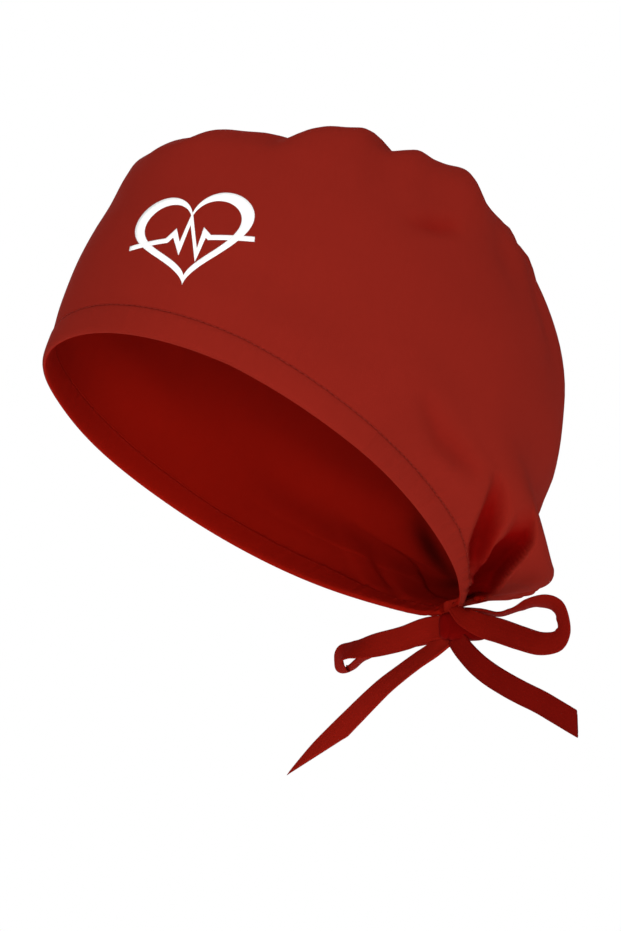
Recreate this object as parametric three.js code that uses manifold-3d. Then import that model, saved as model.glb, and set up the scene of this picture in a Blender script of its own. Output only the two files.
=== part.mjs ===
// A scrub cap: a cloth crown gathered at the nape, a hem casing round the head opening,
// and a tape that runs in the casing and is tied behind the nape in a bow.
// Millimetres, +Z up. The wearer faces -Y and the wearer's left is +X.
// The origin is the middle of the head opening.
import * as THREE from "three";
import { LoftGeometry } from "three/addons/geometries/LoftGeometry.js";
import { mergeVertices } from "three/addons/utils/BufferGeometryUtils.js";
import Module from "manifold-3d";

// Driving dimensions
const RIM_PITCH = 30; // degrees that the opening's plane drops from the forehead to the nape
const CLOTH = 1.4; // wall of the crown
const HEM = 2.6; // wall of the hem, where the cloth is folded round the tape
const HEM_BULGE = 0.3; // how far the hem swells outward between its edges
const GAP = 0.3; // room between pieces that touch
const TAPE_WIDTH = 10.4;
const TAPE = 1.3; // thickness of the folded tape
const KNOT = { centre: [0, 95, -55.5], half: [9, 6.8, 7], wraps: 0.07 };
const SQUEEZE = 0.65; // share of the cloth's turn that the gathers take up at the nape
const SQUEEZE_SPAN = 50; // degrees from the nape over which the gathers ease off
const DROP_SPAN = 18; // degrees from the nape over which the tape pulls the hem down
const FAR_SIDE = { round: 0.4, wide: 0.015, sag: 3, ease: 4 }; // the right side hangs a little fuller

// The crown's rings from the rim to the middle of the top, measured in the opening's plane.
// front and back are distances behind the origin, rise is the height over the plane.
const RINGS = table(
  ["front", "frontRise", "back", "backRise", "half", "sideRise", "egg", "frontSquare", "backSquare", "gather", "drop"],
  [
    [-98, 0, 104, 8, 82, 0, 0.13, 2.08, 1.55, 1, 4],
    [-100, 11, 109, 13, 82.5, 2, 0.12, 2.08, 1.6, 1, 3],
    [-103, 22, 121, 20, 83, 4, 0.1, 2.1, 1.7, 0.95, 1],
    [-106, 37, 134, 32, 82, 6, 0.06, 2.1, 1.8, 0.85, 0],
    [-107, 51, 113, 46, 80, 8, 0.03, 2.08, 1.9, 0.7, 0],
    [-107, 65, 114, 72, 77, 10, 0.03, 2.08, 1.9, 0.5, 0],
    [-108, 79, 106, 95, 71, 12, 0.03, 2.08, 1.9, 0.3, 0],
    [-107, 90, 88, 116, 65, 12, 0, 2.1, 1.9, 0.2, 0],
    [-97, 101, 71, 133, 58, 13, -0.04, 2.1, 2, 0.1, 0],
    [-73, 111, 54, 146, 46, 11, -0.05, 2, 2, 0, 0],
    [-40, 122, 35, 150, 28, 6, 0, 2, 2, 0, 0],
    [-10, 133, 15, 146, 10, 1, 0, 2, 2, 0, 0],
    [-2, 138, 6, 142.5, 3.5, 0, 0, 2, 2, 0, 0],
  ],
);

// Folds that run up from the knot on both sides. nape is the angle from the nape at ring 1,
// lean the degrees that the fold turns away per ring, depth is inward.
const FOLDS = table(
  ["nape", "lean", "half", "power", "depth", "low", "high"],
  [
    [44, 13, 5.5, 2.5, 4.5, 0.5, 3.2],
    [24, 18, 6.5, 3, 7, 0.4, 3.1],
    [36, 16, 2.5, 2, -2, 0.5, 3.2],
  ],
);

// Soft puckers and dents: where they lie round the crown and up it, their reach and their height.
const PUCKERS = table(
  ["around", "ring", "reach", "rings", "height"],
  [
    [49, 7.4, 5, 1, -2],
    [60, 8.1, 9, 1.6, 5],
    [75, 8.4, 3, 1.2, -1.5],
    [84, 8.4, 6, 1.4, 3],
    [97, 8.5, 9, 1.4, 4],
    [113, 7.9, 7, 1.5, -2.5],
    [128, 7.4, 6, 1.3, -1.5],
    [87, 6.2, 9, 0.35, -2],
    [-40, 8, 8, 1.5, 2],
    [-75, 8.2, 7, 1.5, 2.5],
    [-105, 7.8, 6, 1.4, 2],
    [-135, 7.2, 6, 1.4, 2],
  ],
);

// The tape's stretches outside the casing. turn rotates the tape about its own run,
// from the way that across points, and width is the share of the tape's full width.
const TAPE_COLUMNS = ["x", "y", "z", "turn", "width"];
const LOOP_LEFT = {
  across: [0.25, -0.97, 0],
  stations: table(TAPE_COLUMNS, [
    [2, 97, -52, 5, 0.7],
    [10, 102, -50, 10, 0.8],
    [20, 105, -50, 15, 0.9],
    [32, 109, -48, 30, 1],
    [42, 110, -48, 40, 1],
    [50, 111, -51, 50, 0.95],
    [53, 110, -57.5, 55, 0.9],
    [51, 108, -63.5, 70, 1],
    [45, 105, -64.5, 80, 1],
    [36, 102, -62, 90, 1],
    [24, 99, -59, 90, 0.9],
    [12, 97, -57, 90, 0.8],
    [3, 95, -56, 90, 0.7],
  ]),
};
const LOOP_RIGHT = {
  across: [0, 0, 1],
  stations: table(TAPE_COLUMNS, [
    [-2, 92, -55.5, 0, 0.75],
    [-14, 88, -56, 0, 0.95],
    [-28, 83, -57, 0, 1],
    [-42, 79, -58.5, 0, 1],
    [-55, 76, -59.5, 20, 1],
    [-65, 75, -61, 35, 0.9],
    [-73, 77, -64.5, 45, 0.85],
    [-78, 83, -67, 55, 0.8],
    [-74, 88, -65.5, 60, 0.8],
    [-64, 90, -61, 55, 0.9],
    [-46, 92, -57, 30, 1],
    [-26, 94, -56, 10, 0.9],
    [-8, 97, -55, 0, 0.75],
  ]),
};
const TAIL_RIGHT = {
  across: [0, 0, 1],
  stations: table(TAPE_COLUMNS, [
    [-2, 96, -60, 0, 0.6],
    [-18, 87, -68, 20, 0.8],
    [-32, 82, -75, 22, 0.9],
    [-44, 77, -83, 20, 1],
    [-55, 74, -91, 18, 1],
    [-66, 69, -99, 15, 0.95],
    [-78, 64, -107, 10, 0.6],
    [-86, 59, -114, 10, 0.25],
  ]),
};
const TAIL_LEFT = {
  across: [0, 0, 1],
  stations: table(TAPE_COLUMNS, [
    [2, 94, -61, 0, 0.7],
    [8, 95, -67, 0, 0.9],
    [14, 96, -72, 0, 1],
    [20, 99, -76, 0, 1],
    [28, 101, -81, 0, 1],
    [37, 105, -85, 0, 1],
    [46, 108, -90, 0, 1],
    [53, 110, -95, 0, 1],
    [60, 113, -98, 0, 1],
  ]),
};

// Mesh fineness
const FRONT_STEP = 7.5; // degrees between the crown's columns at the face and sides
const NAPE_STEP = 3; // and where the gathers are
const NAPE_FROM = 105;
const LEVEL_STEPS = [
  { upTo: 3.4, step: 0.3 },
  { upTo: 12, step: 0.55 },
];
const TAPE_STEP = 5;

function table(columns, rows) {
  return rows.map((row) => Object.fromEntries(columns.map((name, i) => [name, row[i]])));
}

// Smooth curve through four neighbouring values, from b to c.
function smooth(a, b, c, d, f) {
  const bend = 2 * a - 5 * b + 4 * c - d;
  const swing = 3 * b - a - 3 * c + d;
  return 0.5 * (2 * b + (c - a) * f + bend * f * f + swing * f ** 3);
}

function ringAt(level) {
  const last = RINGS.length - 1;
  const low = Math.min(Math.floor(level), last - 1);
  const row = (k) => RINGS[Math.max(0, Math.min(last, k))];
  const ring = {};
  for (const name of Object.keys(RINGS[0])) {
    const near = [-1, 0, 1, 2].map((k) => row(low + k)[name]);
    ring[name] = smooth(...near, level - low);
  }
  return ring;
}

const clamp01 = (value) => Math.max(0, Math.min(1, value));
const signedPower = (value, power) => Math.sign(value) * Math.abs(value) ** power;

// How far the folds and puckers lift the cloth off its smooth form.
function relief(around, level) {
  const nape = 180 - Math.abs(around);
  let lift = 0;
  for (const fold of FOLDS) {
    const run = clamp01((level - fold.low) / (fold.high - fold.low));
    const aside = (nape - fold.nape - fold.lean * (level - 1)) / fold.half;
    lift -= fold.depth * Math.sin(Math.PI * run ** 0.8) * Math.exp(-(Math.abs(aside) ** fold.power));
  }
  for (const pucker of PUCKERS) {
    const aside = (around - pucker.around) / pucker.reach;
    const up = (level - pucker.ring) / pucker.rings;
    lift += pucker.height * Math.exp(-aside * aside - up * up);
  }
  return lift;
}

// A point of the crown's outer face. around is in degrees: 0 at the forehead, 90 at the left ear.
function crownPoint(around, level, withRelief = true) {
  const ring = ringAt(level);
  const nape = 180 - Math.abs(around);
  const drawn = nape * (1 - SQUEEZE * ring.gather * Math.exp(-((nape / SQUEEZE_SPAN) ** 2)));
  const angle = THREE.MathUtils.degToRad(180 - drawn) * (around < 0 ? -1 : 1);
  const farEase = around < 0 ? clamp01(1 - level / FAR_SIDE.ease) : 0;
  const farRound = around < 0 ? FAR_SIDE.round * clamp01(2 - level / 2) : 0;
  const square = Math.cos(angle) > 0 ? ring.frontSquare : ring.backSquare + farRound;
  const ahead = signedPower(Math.cos(angle), 2 / square);
  const aside = signedPower(Math.sin(angle), 2 / square);
  const far = farEase * Math.abs(aside) * (1 - ahead) ** 2;
  const halfLength = (ring.back - ring.front) / 2;
  let side = ring.half * aside * (1 + ring.egg * ahead) * (1 + FAR_SIDE.wide * far);
  let behind = (ring.back + ring.front) / 2 - halfLength * ahead;
  let rise = (ring.frontRise + ring.backRise) / 2 + ((ring.frontRise - ring.backRise) / 2) * ahead;
  rise += ring.sideRise * aside * aside;
  rise -= ring.drop * Math.exp(-((drawn / DROP_SPAN) ** 2)) + FAR_SIDE.sag * far;
  if (withRelief) {
    const outward = new THREE.Vector2(aside / ring.half, -ahead / halfLength).normalize();
    const lift = relief(around, level);
    side += outward.x * lift;
    behind += outward.y * lift;
  }
  const pitch = THREE.MathUtils.degToRad(RIM_PITCH);
  return new THREE.Vector3(
    side,
    behind * Math.cos(pitch) + rise * Math.sin(pitch),
    -behind * Math.sin(pitch) + rise * Math.cos(pitch),
  );
}

function crownNormal(around, level, withRelief) {
  const d = 0.05;
  const up = Math.max(d, Math.min(RINGS.length - 1 - d, level));
  const along = crownPoint(around + d * 10, up, withRelief).sub(crownPoint(around - d * 10, up, withRelief));
  const upward = crownPoint(around, up + d, withRelief).sub(crownPoint(around, up - d, withRelief));
  return along.cross(upward).normalize();
}

// A point that lies a given depth inside the outer face, measured through the cloth.
function inside(around, level, depth) {
  const straight = crownNormal(around, level, false);
  const slope = crownNormal(around, level, true).dot(straight);
  const through = depth / Math.max(0.6, slope);
  return crownPoint(around, level).addScaledVector(straight, -through);
}

function columns() {
  const half = [];
  for (let a = 0; a < NAPE_FROM; a += FRONT_STEP) half.push(a);
  for (let a = NAPE_FROM; a < 180; a += NAPE_STEP) half.push(a);
  const left = half.slice(1);
  return [0, ...left, 180, ...left.map((a) => -a).reverse()];
}

const AROUND = columns().reverse();
const ring = (level, depth) => AROUND.map((around) => inside(around, level, depth));

function levels() {
  const list = [1];
  for (const { upTo, step } of LEVEL_STEPS) {
    while (list.at(-1) + step < upTo) list.push(list.at(-1) + step);
  }
  return [...list, RINGS.length - 1];
}

// A section drawn together to its own middle, which closes the crown's top.
function pole(section) {
  const middle = new THREE.Vector3();
  for (const point of section) middle.addScaledVector(point, 1 / section.length);
  return section.map(() => middle.clone());
}

function crownGeometry() {
  const rising = levels();
  const outer = [...rising].reverse().map((level) => ring(level, 0));
  const inner = rising.map((level) => ring(level, CLOTH));
  return new LoftGeometry([pole(outer[0]), ...outer, ...inner, pole(inner.at(-1))]);
}

// The hem's own section, from its stitch line down the outside and up the inside.
function casingGeometry(grow = 0) {
  const top = 0.96 + grow / 11;
  const sections = [
    ring(top, -grow),
    ring(0.66, -HEM_BULGE - grow),
    ring(0.33, -HEM_BULGE - grow),
    ring(0.05, -grow),
    ring(0, HEM / 2).map((p) => p.setZ(p.z - 0.5 - grow)),
    ring(0.05, HEM + grow),
    ring(0.5, HEM + grow),
    ring(top, HEM + grow),
  ];
  return new LoftGeometry([...sections, sections[0]]);
}

function knotGeometry(grow = 0) {
  const geometry = new THREE.SphereGeometry(1, 22, 14);
  const place = geometry.attributes.position;
  for (let i = 0; i < place.count; i += 1) {
    const p = new THREE.Vector3().fromBufferAttribute(place, i);
    const wrap = 1 + KNOT.wraps * Math.cos(5 * Math.acos(THREE.MathUtils.clamp(p.x, -1, 1)));
    const [x, y, z] = KNOT.half.map((half) => half + grow);
    p.set(p.x * x, p.y * y * wrap, p.z * z * wrap).add(new THREE.Vector3(...KNOT.centre));
    place.setXYZ(i, p.x, p.y, p.z);
  }
  return geometry;
}

// A flat tape with soft edges, swept through its stations.
function tapeGeometry({ across, stations }) {
  const route = new THREE.CatmullRomCurve3(stations.map((s) => new THREE.Vector3(s.x, s.y, s.z)));
  const count = Math.ceil(route.getLength() / TAPE_STEP);
  const sections = [];
  for (let i = 0; i <= count; i += 1) {
    const t = i / count;
    const at = t * (stations.length - 1);
    const low = Math.min(Math.floor(at), stations.length - 2);
    const mix = (name) => THREE.MathUtils.lerp(stations[low][name], stations[low + 1][name], at - low);
    const tangent = route.getTangent(t);
    const wide = new THREE.Vector3(...across).projectOnPlane(tangent).normalize();
    wide.applyAxisAngle(tangent, THREE.MathUtils.degToRad(mix("turn")));
    const thick = new THREE.Vector3().crossVectors(tangent, wide);
    const w = (TAPE_WIDTH * mix("width")) / 2;
    const h = TAPE / 2;
    const outline = [
      [w, -h * 0.4],
      [w, h * 0.4],
      [w - h, h],
      [h - w, h],
      [-w, h * 0.4],
      [-w, -h * 0.4],
      [h - w, -h],
      [w - h, -h],
    ];
    const middle = route.getPoint(t);
    sections.push(outline.map(([a, b]) => middle.clone().addScaledVector(wide, a).addScaledVector(thick, b)));
  }
  return new LoftGeometry(sections, { capStart: true, capEnd: true });
}

const wasm = await Module();
wasm.setup();

function solid(geometry) {
  const bare = new THREE.BufferGeometry();
  bare.setAttribute("position", geometry.attributes.position);
  bare.setIndex(geometry.index);
  const merged = mergeVertices(bare, 1e-3);
  const mesh = new wasm.Mesh({
    numProp: 3,
    vertProperties: new Float32Array(merged.attributes.position.array),
    triVerts: new Uint32Array(merged.index.array),
  });
  return new wasm.Manifold(mesh);
}

function geometryOf(body) {
  const mesh = body.getMesh();
  const geometry = new THREE.BufferGeometry();
  geometry.setAttribute("position", new THREE.BufferAttribute(new Float32Array(mesh.vertProperties), 3));
  geometry.setIndex(new THREE.BufferAttribute(new Uint32Array(mesh.triVerts), 1));
  return geometry;
}

const group = new THREE.Group();

function add(name, geometry, colour) {
  const material = new THREE.MeshStandardMaterial({ color: colour, roughness: 0.9, metalness: 0 });
  const mesh = new THREE.Mesh(geometry, material);
  mesh.name = name;
  group.add(mesh);
}

const BRICK_RED = 0x84221a;
const TAPE_RED = 0x7c1f17;
const roomForCasing = solid(casingGeometry(GAP));
const roomForKnot = solid(knotGeometry(GAP));

add("crown", crownGeometry(), BRICK_RED);
add("casing_band", casingGeometry(), BRICK_RED);
add("tie_knot", geometryOf(solid(knotGeometry()).subtract(roomForCasing)), TAPE_RED);
const tapes = {
  tie_loop_left: LOOP_LEFT,
  tie_loop_right: LOOP_RIGHT,
  tie_tail_left: TAIL_LEFT,
  tie_tail_right: TAIL_RIGHT,
};
for (const [name, tape] of Object.entries(tapes)) {
  const free = solid(tapeGeometry(tape)).subtract(roomForKnot).subtract(roomForCasing);
  add(name, geometryOf(free), TAPE_RED);
}

export default group;
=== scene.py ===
"""A scrub cap: a gathered cloth crown, a stitched hem casing and a tape tied in a bow at the nape."""

import math

import bmesh
import bpy
import numpy as np
from bpy.props import FloatProperty, FloatVectorProperty
from mathutils import Matrix, Vector


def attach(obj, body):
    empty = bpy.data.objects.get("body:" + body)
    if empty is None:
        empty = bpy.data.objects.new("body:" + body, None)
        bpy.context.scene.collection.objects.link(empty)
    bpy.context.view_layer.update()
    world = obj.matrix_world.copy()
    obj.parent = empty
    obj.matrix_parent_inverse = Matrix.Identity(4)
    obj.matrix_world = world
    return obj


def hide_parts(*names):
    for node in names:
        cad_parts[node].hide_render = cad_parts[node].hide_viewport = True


bl_info = {
    "name": "Scrub cap",
    "version": (1, 0, 0),
    "blender": (4, 5, 0),
    "location": "View3D > Sidebar > Scrub cap",
    "description": "Builds a gathered cloth scrub cap with a stitched hem and a tied tape",
    "category": "Object",
}

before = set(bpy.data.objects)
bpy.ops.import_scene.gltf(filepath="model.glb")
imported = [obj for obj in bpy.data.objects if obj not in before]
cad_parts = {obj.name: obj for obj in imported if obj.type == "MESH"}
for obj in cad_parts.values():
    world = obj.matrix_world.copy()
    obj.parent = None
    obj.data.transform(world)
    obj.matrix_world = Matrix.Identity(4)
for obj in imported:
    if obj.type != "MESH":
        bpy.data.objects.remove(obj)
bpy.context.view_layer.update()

MM = 0.001
BODY = "root"

# The crown's rings from the rim to the middle of the top, in millimetres, measured in the
# opening's plane. front and back are distances behind the origin, rise is the height over it.
RING_COLUMNS = (
    "front", "front_rise", "back", "back_rise", "half", "side_rise",
    "egg", "front_square", "back_square", "gather", "drop",
)
RINGS = np.array(
    [
        (-98, 0, 104, 8, 82, 0, 0.13, 2.08, 1.55, 1, 4),
        (-100, 11, 109, 13, 82.5, 2, 0.12, 2.08, 1.6, 1, 3),
        (-103, 22, 121, 20, 83, 4, 0.1, 2.1, 1.7, 0.95, 1),
        (-106, 37, 134, 32, 82, 6, 0.06, 2.1, 1.8, 0.85, 0),
        (-107, 51, 113, 46, 80, 8, 0.03, 2.08, 1.9, 0.7, 0),
        (-107, 65, 114, 72, 77, 10, 0.03, 2.08, 1.9, 0.5, 0),
        (-108, 79, 106, 95, 71, 12, 0.03, 2.08, 1.9, 0.3, 0),
        (-107, 90, 88, 116, 65, 12, 0, 2.1, 1.9, 0.2, 0),
        (-97, 101, 71, 133, 58, 13, -0.04, 2.1, 2, 0.1, 0),
        (-73, 111, 54, 146, 46, 11, -0.05, 2, 2, 0, 0),
        (-40, 122, 35, 150, 28, 6, 0, 2, 2, 0, 0),
        (-10, 133, 15, 146, 10, 1, 0, 2, 2, 0, 0),
        (-2, 138, 6, 142.5, 3.5, 0, 0, 2, 2, 0, 0),
    ],
    float,
)
TOP_LEVEL = len(RINGS) - 1
RIM_PITCH = math.radians(30)
# How much the nape's gathers draw the cloth together, and the reach of that and of the nape's dip
# in degrees.
SQUEEZE, SQUEEZE_SPAN, DROP_SPAN = 0.65, 50.0, 18.0
# How much rounder, wider and lower the right side hangs, which fades out over SAG_LEVELS.
FAR_ROUND, FAR_WIDE, FAR_SAG, SAG_LEVELS = 0.4, 0.015, 2.5, 4.0
# The sag of the left side, and between which angles it comes and goes.
NEAR_SAG, NEAR_SAG_AROUND = 2.8, (55, 90, 142, 162)
# The way that the bow faces. The folds over the knot are pushed in along it.
FACING = np.array((0.87, -0.463, -0.17))
# Millimetres of cloth for each degree round the crown, and of the drawn hem.
CLOTH_RUN, HEM_RUN = 1.55, 1.45

# Soft puckers and dents: where they lie round the crown and up it, their reach and their height.
PUCKERS = (
    # around, level, reach, levels, height
    # over the forehead
    (-4, 7, 7, 0.6, -1.3),
    (4, 7.1, 9, 1.3, -1.3),
    (15, 7.4, 6, 0.7, -2.2),
    # along the top on the left, and down to the nape
    (36, 7.9, 9, 1.4, -1.8),
    (46, 7.8, 5, 1, -3.8),
    (60, 8.1, 8, 1.6, 3.7),
    (66.5, 8.35, 4, 1.3, 3.2),
    (73.5, 8.8, 3, 0.8, -1.8),
    (81.5, 8.4, 4.5, 1.4, 3),
    (88, 8.7, 3, 1.2, 0.6),
    (98, 8.6, 8, 1.4, 4.3),
    (104, 8.6, 9, 0.8, -1.2),
    (113, 7.9, 7, 1.5, -2.7),
    (120, 8.9, 6, 0.8, -1),
    (127, 8.6, 12, 1, -3),
    (130, 7.2, 5, 1.2, -1),
    (132, 8.9, 2.5, 0.35, 0.7),
    (139, 8.9, 3, 0.35, -1.1),
    (141, 8.3, 9, 0.8, -2.6),
    (142, 6.8, 8, 0.8, 2.6),
    (148, 8.6, 3.5, 0.35, 1.3),
    (152, 5.5, 9, 0.7, -1.6),
    # low on the left and at the nape
    (106, 1.75, 4, 0.35, 1),
    (108, 3, 13, 0.6, -3.3),
    (114, 4.1, 13, 0.6, 2),
    (135, 3.15, 9, 0.35, -1.4),
    (147, 3.05, 4, 0.3, 1),
    (159, 2.7, 6, 0.4, -4.5),
    (160, 4.25, 6, 0.35, 3),
    (180, 2.1, 17, 1.2, -3.6),
    # low on the right, where the inside shows
    (-45, -0.3, 18, 1.6, -2.2),
    (-118, 1.9, 20, 0.7, -4),
    (-118, 2.9, 20, 0.8, -5),
    (-148, 0, 14, 1.2, 1.5),
    (-158, 2, 12, 1, -2),
    (-171, 0, 8, 0.8, 1.9),
    # along the top on the right
    (-40, 8, 8, 1.5, 2),
    (-75, 8.2, 7, 1.5, 2.5),
    (-105, 7.8, 6, 1.4, 2),
    (-135, 7.2, 6, 1.4, 2),
)

# Folds that run up from the knot, and a dent high on the side. Each point has its angle from the
# nape and its level, the fold's reach towards the hem and towards the crown, and its height, in
# millimetres. hem_edge and crown_edge say how sharply the fold ends on either side, where that is
# more than SOFT_EDGE. aslant is the share of its move that goes along FACING and not along the
# cloth's normal. shade is painted shade: how much darker the colour is drawn where the fold is
# SHADE_DEPTH deep.
FOLDS = {
    "deep_pleat": {
        "aslant": 0.9,
        "shade": 1,
        "hem_edge": 7.0,
        "crown_edge": 8.0,
        "points": (
            (28.4, 0.99, 7.4, 7, -12),
            (34.8, 1.17, 8, 6.6, -19),
            (40.4, 1.41, 8.2, 6.2, -24),
            (44.8, 1.68, 8, 6.8, -24),
            (49.2, 2.04, 7.6, 7.6, -21),
            (52.4, 2.34, 7, 7.4, -12),
            (55.2, 2.55, 6.4, 6.4, -6),
            (57.2, 2.73, 6, 6, -2.5),
            (59.5, 2.95, 6, 6, 0),
        ),
    },
    "side_pleat": {
        "aslant": 0.7,
        "shade": 0.9,
        "hem_edge": 5.0,
        "points": (
            (42.8, 0.9, 2.4, 2, -4),
            (48.4, 1.2, 4, 3, -10),
            (53.2, 1.5, 5.6, 4, -13),
            (57.2, 1.83, 6, 4.8, -12),
            (61.2, 2.16, 5.4, 5.4, -9),
            (64.8, 2.43, 4, 5, -6),
            (66.8, 2.61, 3, 4, -3),
            (69, 2.8, 2.5, 3, 0),
        ),
    },
    "crest": {
        "points": (
            (31.6, 0.5, 1.3, 1.3, 1.6),
            (40.8, 0.78, 1.3, 1.3, 3),
            (46.4, 1.26, 1.3, 1.3, 3.6),
            (53.6, 1.74, 1.4, 1.4, 3.4),
            (57.2, 2.13, 1.6, 1.6, 2.2),
            (58.8, 2.4, 2, 2, 0),
        ),
    },
    "side_valley": {
        "shade": 0.5,
        "points": (
            (92, 2.8, 4, 4, 0),
            (88, 2.6, 5, 5, -1.6),
            (80, 2.3, 6, 6, -3),
            (75, 2.35, 5, 5, -3),
            (71, 2.4, 4, 4, -1.6),
            (69, 2.4, 4, 4, 0),
        ),
    },
    "side_dent": {
        "shade": 1.1,
        "points": (
            (102, 5.82, 3, 3, 0),
            (98.7, 6, 3.4, 3.4, -1.2),
            (93.2, 6.32, 3.8, 3.8, -3),
            (87.7, 6.62, 3.4, 3.4, -2),
            (84, 6.85, 3, 3, 0),
        ),
    },
    "pouch": {
        "points": (
            (26, 2.3, 9, 9, 0.5),
            (37, 2.5, 10, 10, 2),
            (48, 2.8, 9, 9, 1),
            (56, 3.1, 8, 8, 0),
        ),
    },
}

SOFT_EDGE, SHADE_DEPTH = 2.0, 9.0
# The points on a fold's line, and how many times its reach it is worked out for.
FOLD_STEPS, FOLD_MARGIN = 90, 2.2
# How high the same folds are on the right.
RIGHT_SHARE = 0.1

# The small puckers along the hem, as waves. sway is the run in which a wave's pace comes and goes.
RIPPLES = (
    # millimetres for a radian, start in radians, share, sway
    (0.92, 0, 1, 7.3),
    (1.47, 2, 0.7, 0),
    (0.61, 4, 0.5, 0),
    (0.41, 0, 0.6, 3.1),
)
# Their height all round, and how much more where the tape draws the cloth together.
RIPPLE_HEIGHT, DRAWN_HEIGHT = 0.06, 0.22
# The gathers at the nape: their reach in degrees, the degrees of a pleat's wave in each degree
# round, their height, and how much higher they are on the right.
GATHER_REACH, GATHER_PACE, GATHER_HEIGHT, RIGHT_MORE = 26, 48, 0.9, 0.9
# The groove that the hem's stitches pull in.
GROOVE_DEPTH, GROOVE_LEVELS = 0.22, 0.06

# The hem's stitch line: its level at angles round the cap.
STITCH_AROUND = (0, 60, 95, 121, 129, 138, 150, 180)
STITCH_LEVEL = (0.99, 0.98, 0.93, 1.0, 0.86, 0.7, 0.62, 0.6)


def smooth_between(a, b, c, d, f):
    """The value at share f of the way from b to c, on a smooth curve through a, b, c and d."""
    bend, swing = 2 * a - 5 * b + 4 * c - d, 3 * b - a - 3 * c + d
    return 0.5 * (2 * b + (c - a) * f + bend * f * f + swing * f**3)


def ring_at(level):
    """The crown's ring values at any level, on a smooth curve through the table's rows."""
    low = np.clip(np.floor(level), 0, TOP_LEVEL - 1).astype(int)
    f = (level - low)[..., None]
    values = smooth_between(*(RINGS[np.clip(low + k, 0, TOP_LEVEL)] for k in (-1, 0, 1, 2)), f)
    return dict(zip(RING_COLUMNS, np.moveaxis(values, -1, 0)))


def signed_power(value, power):
    """A power that keeps the value's sign."""
    return np.sign(value) * np.abs(value) ** power


def smooth_crown(around, level):
    """Points of the crown's smooth form. around is 0 at the forehead and 90 at the left ear."""
    around, level = np.broadcast_arrays(np.asarray(around, float), np.asarray(level, float))
    ring = ring_at(level)
    right = around < 0
    nape = 180 - np.abs(around)
    drawn = nape * (1 - SQUEEZE * ring["gather"] * np.exp(-((nape / SQUEEZE_SPAN) ** 2)))
    angle = np.radians(180 - drawn) * np.where(right, -1, 1)
    rounder = np.where(right, FAR_ROUND * np.clip(2 - level / 2, 0, 1), 0)
    square = np.where(np.cos(angle) > 0, ring["front_square"], ring["back_square"] + rounder)
    ahead = signed_power(np.cos(angle), 2 / square)
    aside = signed_power(np.sin(angle), 2 / square)
    low = np.clip(1 - level / SAG_LEVELS, 0, 1)
    fuller = np.where(right, low * np.abs(aside) * (1 - ahead) ** 2, 0)
    near = low * np.interp(around, NEAR_SAG_AROUND, (0, 1, 1, 0))
    half_length = (ring["back"] - ring["front"]) / 2
    side = ring["half"] * aside * (1 + ring["egg"] * ahead) * (1 + FAR_WIDE * fuller)
    behind = (ring["back"] + ring["front"]) / 2 - half_length * ahead
    rise = (ring["front_rise"] + ring["back_rise"]) / 2
    rise = rise + (ring["front_rise"] - ring["back_rise"]) / 2 * ahead + ring["side_rise"] * aside**2
    rise = rise - ring["drop"] * np.exp(-((drawn / DROP_SPAN) ** 2)) - FAR_SAG * fuller - NEAR_SAG * near
    c, s = math.cos(RIM_PITCH), math.sin(RIM_PITCH)
    return np.stack([side, behind * c + rise * s, rise * c - behind * s], -1)


def outward(around, level):
    """The smooth form's outward normals."""
    step = 0.04
    around, level = np.broadcast_arrays(np.asarray(around, float), np.asarray(level, float))
    high, low = np.clip(level + step, 0, TOP_LEVEL), np.clip(level - step, 0, TOP_LEVEL)
    along = smooth_crown(around + 10 * step, level) - smooth_crown(around - 10 * step, level)
    up = smooth_crown(around, high) - smooth_crown(around, low)
    normal = np.cross(along, up)
    return normal / (np.linalg.norm(normal, axis=-1, keepdims=True) + 1e-12)


def fold_lift(points, normals, fold, side):
    """How far one fold lifts the given points of the smooth form, on the left (1) or right (-1)."""
    rows = np.array(fold["points"], float)
    at = np.linspace(0, len(rows) - 1, FOLD_STEPS)
    nape, level, hemward, crownward, height = (
        np.interp(at, np.arange(len(rows)), rows[:, k]) for k in range(5)
    )
    line = smooth_crown(side * (180 - nape), level)
    run = np.gradient(line, axis=0)
    reach = rows[:, 2:4].max() * FOLD_MARGIN
    near = np.all((points > line.min(0) - reach) & (points < line.max(0) + reach), axis=-1)
    lift = np.zeros(points.shape[:-1])
    some = points[near]
    if not len(some):
        return lift
    gap = some[:, None, :] - line[None]
    distance = np.linalg.norm(gap, axis=-1)
    nearest = distance.argmin(1)
    pick = np.arange(len(some))
    across = side * np.einsum("ij,ij->i", np.cross(normals[near], run[nearest]), gap[pick, nearest])
    width = np.where(across > 0, hemward[nearest], crownward[nearest])
    hem_edge, crown_edge = (fold.get(edge, SOFT_EDGE) for edge in ("hem_edge", "crown_edge"))
    sharp = np.where(across > 0, hem_edge, crown_edge)
    lift[near] = height[nearest] * np.exp(-((distance[pick, nearest] / width) ** sharp))
    return lift


def stitch_level(around):
    """The level of the hem's stitch line."""
    return np.interp(np.abs(around), STITCH_AROUND, STITCH_LEVEL)


def ripples(around, level):
    """Small puckers that the hem's stitches and the drawn tape leave in the cloth."""
    along = np.abs(around) * HEM_RUN
    wave = 0.0
    for length, start, share, sway in RIPPLES:
        pace = np.sin(along / sway) if sway else 0
        wave = wave + share * np.sin(along / length + start + pace)
    drawn = np.clip((np.abs(around) - 85) / 60, 0, 1) * np.where(around < 0, 0.3, 1)
    beside = level - stitch_level(around)
    fade = np.exp(-((beside / np.where(beside > 0, 0.22 + 0.35 * drawn, 0.5)) ** 2))
    return wave * (RIPPLE_HEIGHT + DRAWN_HEIGHT * drawn) * fade


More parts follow.
